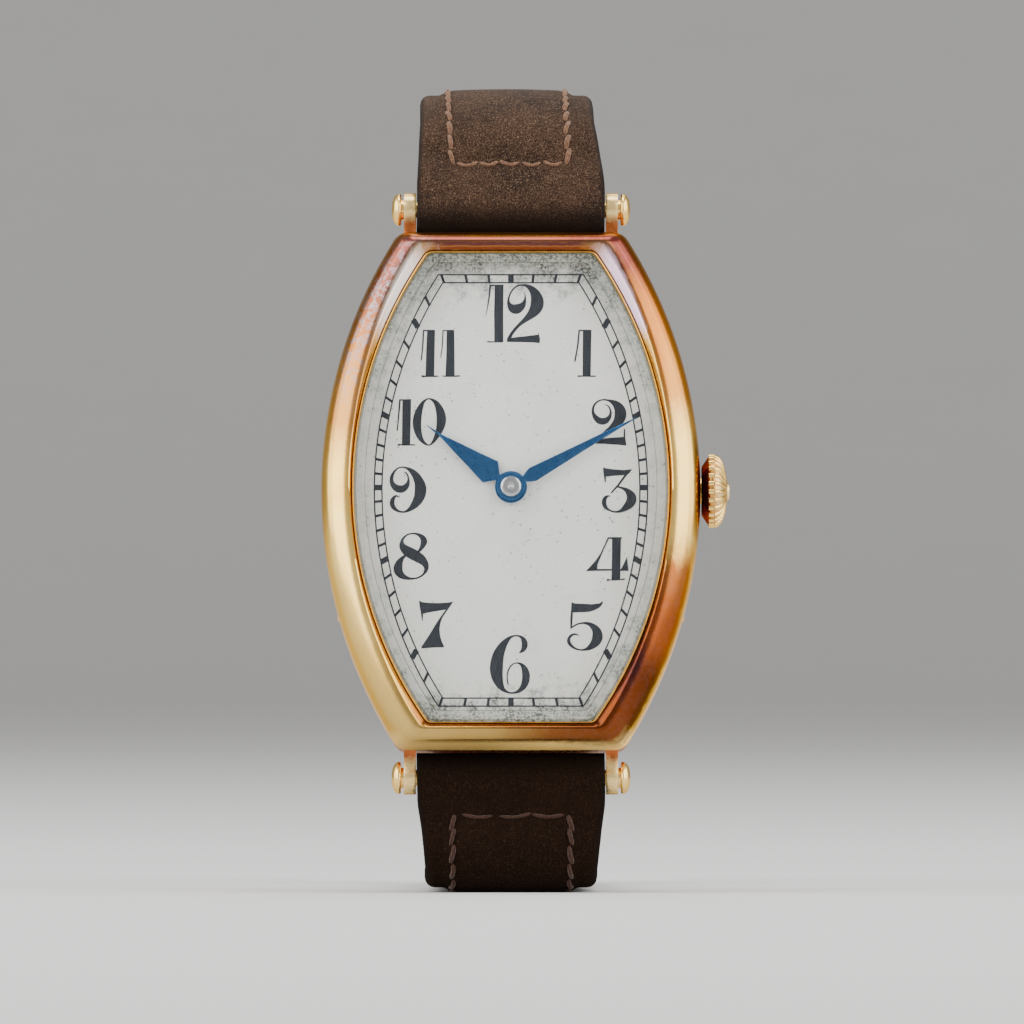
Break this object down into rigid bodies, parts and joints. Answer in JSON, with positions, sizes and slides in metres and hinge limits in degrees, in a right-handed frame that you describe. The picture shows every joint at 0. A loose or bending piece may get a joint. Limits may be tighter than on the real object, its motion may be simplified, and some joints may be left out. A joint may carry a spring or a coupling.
{
  "type": "wristwatch",
  "caption": "Barrel-shaped mechanical wristwatch with printed dial, blued hands, ribbed crown, full movement and a two-piece leather strap with buckle.",
  "frame": {"origin": "on the resting plane, in the flat run of the lower strap, under the dial's vertical middle line", "axes": "+X to 3 o'clock and the crown, +Z to 12 o'clock, the dial faces -Y"},
  "size_m": [0.0305, 0.0639, 0.0596],
  "materials": {
    "case_gold": "polished",
    "crystal": "gloss",
    "silvered_dial": "matte",
    "blued_steel": "polished",
    "movement_gilt": "satin",
    "polished_steel": "polished",
    "jewel": "gloss",
    "strap_leather": "matte"
  },
  "bodies": {
    "case": {"bezel": "case_gold", "crystal": "crystal", "middle_case": "case_gold", "case_back": "case_gold", "case_back_screws": "case_gold", "crown_tube": "case_gold", "upper_strap_bar": "case_gold", "lower_strap_bar": "case_gold", "upper_bar_screw": "case_gold", "lower_bar_screw": "case_gold", "dial": "silvered_dial", "casing_ring": "movement_gilt", "movement_screws": "blued_steel", "main_plate": "movement_gilt", "barrel_bridge": "movement_gilt", "train_bridge": "movement_gilt", "balance_cock": "movement_gilt", "pallet_cock": "movement_gilt", "bridge_screws": "blued_steel", "jewels": "jewel", "crown_wheel_screw": "blued_steel", "setting_lever_spring": "polished_steel"},
    "minute_hand_set": {"cannon_pinion": "polished_steel", "minute_hand": "blued_steel"},
    "hour_hand_set": {"hour_wheel": "movement_gilt", "hour_hand": "blued_steel"},
    "minute_wheel": {"minute_wheel": "movement_gilt"},
    "setting_wheel": {"setting_wheel": "polished_steel"},
    "fourth_wheel": {"fourth_wheel": "movement_gilt"},
    "escape_wheel": {"escape_wheel": "polished_steel"},
    "third_wheel": {"third_wheel": "movement_gilt"},
    "center_wheel": {"center_wheel": "movement_gilt"},
    "barrel": {"barrel": "movement_gilt", "barrel_cover": "movement_gilt", "mainspring": "blued_steel"},
    "pallet_fork": {"pallet_fork": "polished_steel"},
    "balance": {"balance_wheel": "movement_gilt", "hairspring": "blued_steel"},
    "winding_pinion": {"winding_pinion": "polished_steel"},
    "crown_wheel": {"crown_wheel": "polished_steel"},
    "ratchet": {"ratchet_wheel": "polished_steel", "barrel_arbor": "polished_steel", "ratchet_screw": "blued_steel"},
    "crown_and_stem": {"winding_stem": "polished_steel", "crown": "case_gold"},
    "sliding_pinion": {"sliding_pinion": "polished_steel"},
    "setting_lever": {"setting_lever": "polished_steel"},
    "yoke": {"yoke": "polished_steel"},
    "click": {"click": "polished_steel"},
    "upper_strap": {"upper_strap": "strap_leather", "fixed_keeper": "strap_leather"},
    "sliding_keeper": {"sliding_keeper": "strap_leather"},
    "buckle_frame": {"buckle_frame": "case_gold", "buckle_bar": "case_gold"},
    "buckle_tongue": {"buckle_tongue": "case_gold"},
    "lower_strap": {"lower_strap": "strap_leather"}
  },
  "joints": [
    {"name": "minute_hand_turn", "type": "hinge", "parent": "case", "child": "minute_hand_set", "pos_m": [0, -0.02151, 0.03031], "axis": [0, -0.9945, 0.1045], "continuous": true},
    {"name": "hour_hand_turn", "type": "hinge", "parent": "case", "child": "hour_hand_set", "pos_m": [0, -0.02108, 0.03027], "axis": [0, -0.9945, 0.1045], "continuous": true},
    {"name": "minute_wheel_turn", "type": "hinge", "parent": "case", "child": "minute_wheel", "pos_m": [0.00244, -0.01963, 0.03101], "axis": [0, -0.9945, 0.1045], "continuous": true},
    {"name": "setting_wheel_turn", "type": "hinge", "parent": "case", "child": "setting_wheel", "pos_m": [0.00522, -0.0197, 0.03032], "axis": [0, -0.9945, 0.1045], "continuous": true},
    {"name": "fourth_wheel_turn", "type": "hinge", "parent": "case", "child": "fourth_wheel", "pos_m": [-0.00254, -0.01824, 0.02624], "axis": [0, -0.9945, 0.1045], "continuous": true},
    {"name": "escape_wheel_turn", "type": "hinge", "parent": "case", "child": "escape_wheel", "pos_m": [-0.00106, -0.01903, 0.02381], "axis": [0, -0.9945, 0.1045], "continuous": true},
    {"name": "third_wheel_turn", "type": "hinge", "parent": "case", "child": "third_wheel", "pos_m": [-0.00418, -0.01862, 0.02927], "axis": [0, -0.9945, 0.1045], "continuous": true},
    {"name": "center_wheel_turn", "type": "hinge", "parent": "case", "child": "center_wheel", "pos_m": [0, -0.01735, 0.02988], "axis": [0, -0.9945, 0.1045], "continuous": true},
    {"name": "barrel_turn", "type": "hinge", "parent": "case", "child": "barrel", "pos_m": [0.00148, -0.01712, 0.03541], "axis": [0, -0.9945, 0.1045], "continuous": true},
    {"name": "pallet_fork_rock", "type": "hinge", "parent": "case", "child": "pallet_fork", "pos_m": [0.00124, -0.01898, 0.02398], "axis": [0, -0.9945, 0.1045], "range_deg": [-5, 5]},
    {"name": "balance_swing", "type": "hinge", "parent": "case", "child": "balance", "pos_m": [0.00407, -0.01821, 0.02412], "axis": [0, -0.9945, 0.1045], "range_deg": [-270, 270], "stiffness_Nm_per_rad": 0.0000002},
    {"name": "crown_turn", "type": "hinge", "parent": "case", "child": "winding_pinion", "pos_m": [0, -0.01815, 0.02996], "axis": [1, 0, 0], "continuous": true},
    {"name": "crown_wheel_turn", "type": "hinge", "parent": "case", "child": "crown_wheel", "pos_m": [0.0062, -0.01643, 0.02978], "axis": [0, -0.9945, 0.1045], "continuous": true},
    {"name": "ratchet_turn", "type": "hinge", "parent": "case", "child": "ratchet", "pos_m": [0.00148, -0.01585, 0.03528], "axis": [0, -0.9945, 0.1045], "continuous": true},
    {"name": "crown_pull", "type": "slide", "parent": "winding_pinion", "child": "crown_and_stem", "axis": [1, 0, 0], "range_m": [0, 0.0009]},
    {"name": "sliding_pinion_shift", "type": "slide", "parent": "winding_pinion", "child": "sliding_pinion", "axis": [1, 0, 0], "range_m": [-0.0006, 0]},
    {"name": "setting_lever_rock", "type": "hinge", "parent": "case", "child": "setting_lever", "pos_m": [0.0092, -0.01937, 0.0327], "axis": [0, -0.9945, 0.1045], "range_deg": [0, 19.84]},
    {"name": "yoke_rock", "type": "hinge", "parent": "case", "child": "yoke", "pos_m": [0.009, -0.02002, 0.02654], "axis": [0, -0.9945, 0.1045], "range_deg": [0, 9.56]},
    {"name": "click_rock", "type": "hinge", "parent": "case", "child": "click", "pos_m": [-0.00423, -0.01579, 0.03426], "axis": [0, -0.9945, 0.1045], "range_deg": [0, 14]},
    {"name": "upper_strap_swing", "type": "hinge", "parent": "case", "child": "upper_strap", "pos_m": [0, -0.01614, 0.05102], "axis": [1, 0, 0], "range_deg": [-2, 80]},
    {"name": "lower_strap_swing", "type": "hinge", "parent": "case", "child": "lower_strap", "pos_m": [0, -0.0206, 0.00855], "axis": [-1, 0, 0], "range_deg": [-2, 70]},
    {"name": "sliding_keeper_slide", "type": "slide", "parent": "upper_strap", "child": "sliding_keeper", "axis": [0, 0, 1], "range_m": [0, 0.005]},
    {"name": "buckle_frame_swing", "type": "hinge", "parent": "upper_strap", "child": "buckle_frame", "pos_m": [0, 0.0158, 0.025], "axis": [1, 0, 0], "range_deg": [-60, 45]},
    {"name": "buckle_tongue_swing", "type": "hinge", "parent": "buckle_frame", "child": "buckle_tongue", "pos_m": [0, 0.0158, 0.025], "axis": [1, 0, 0], "range_deg": [0, 60]}
  ],
  "couplings": [
    {"joint": "hour_hand_turn", "follows": "minute_hand_turn", "ratio": 0.083333},
    {"joint": "minute_wheel_turn", "follows": "minute_hand_turn", "ratio": -0.33333},
    {"joint": "setting_wheel_turn", "follows": "minute_hand_turn", "ratio": 0.71429},
    {"joint": "escape_wheel_turn", "follows": "fourth_wheel_turn", "ratio": -10},
    {"joint": "third_wheel_turn", "follows": "fourth_wheel_turn", "ratio": -0.13333},
    {"joint": "center_wheel_turn", "follows": "fourth_wheel_turn", "ratio": 0.016667},
    {"joint": "barrel_turn", "follows": "fourth_wheel_turn", "ratio": -0.0027778},
    {"joint": "crown_wheel_turn", "follows": "crown_turn", "ratio": 0.4375},
    {"joint": "ratchet_turn", "follows": "crown_turn", "ratio": -0.29167},
    {"joint": "sliding_pinion_shift", "follows": "crown_pull", "ratio": -0.66667},
    {"joint": "setting_lever_rock", "follows": "crown_pull", "rad_per_m": 384.62},
    {"joint": "yoke_rock", "follows": "crown_pull", "rad_per_m": 185.19}
  ]
}
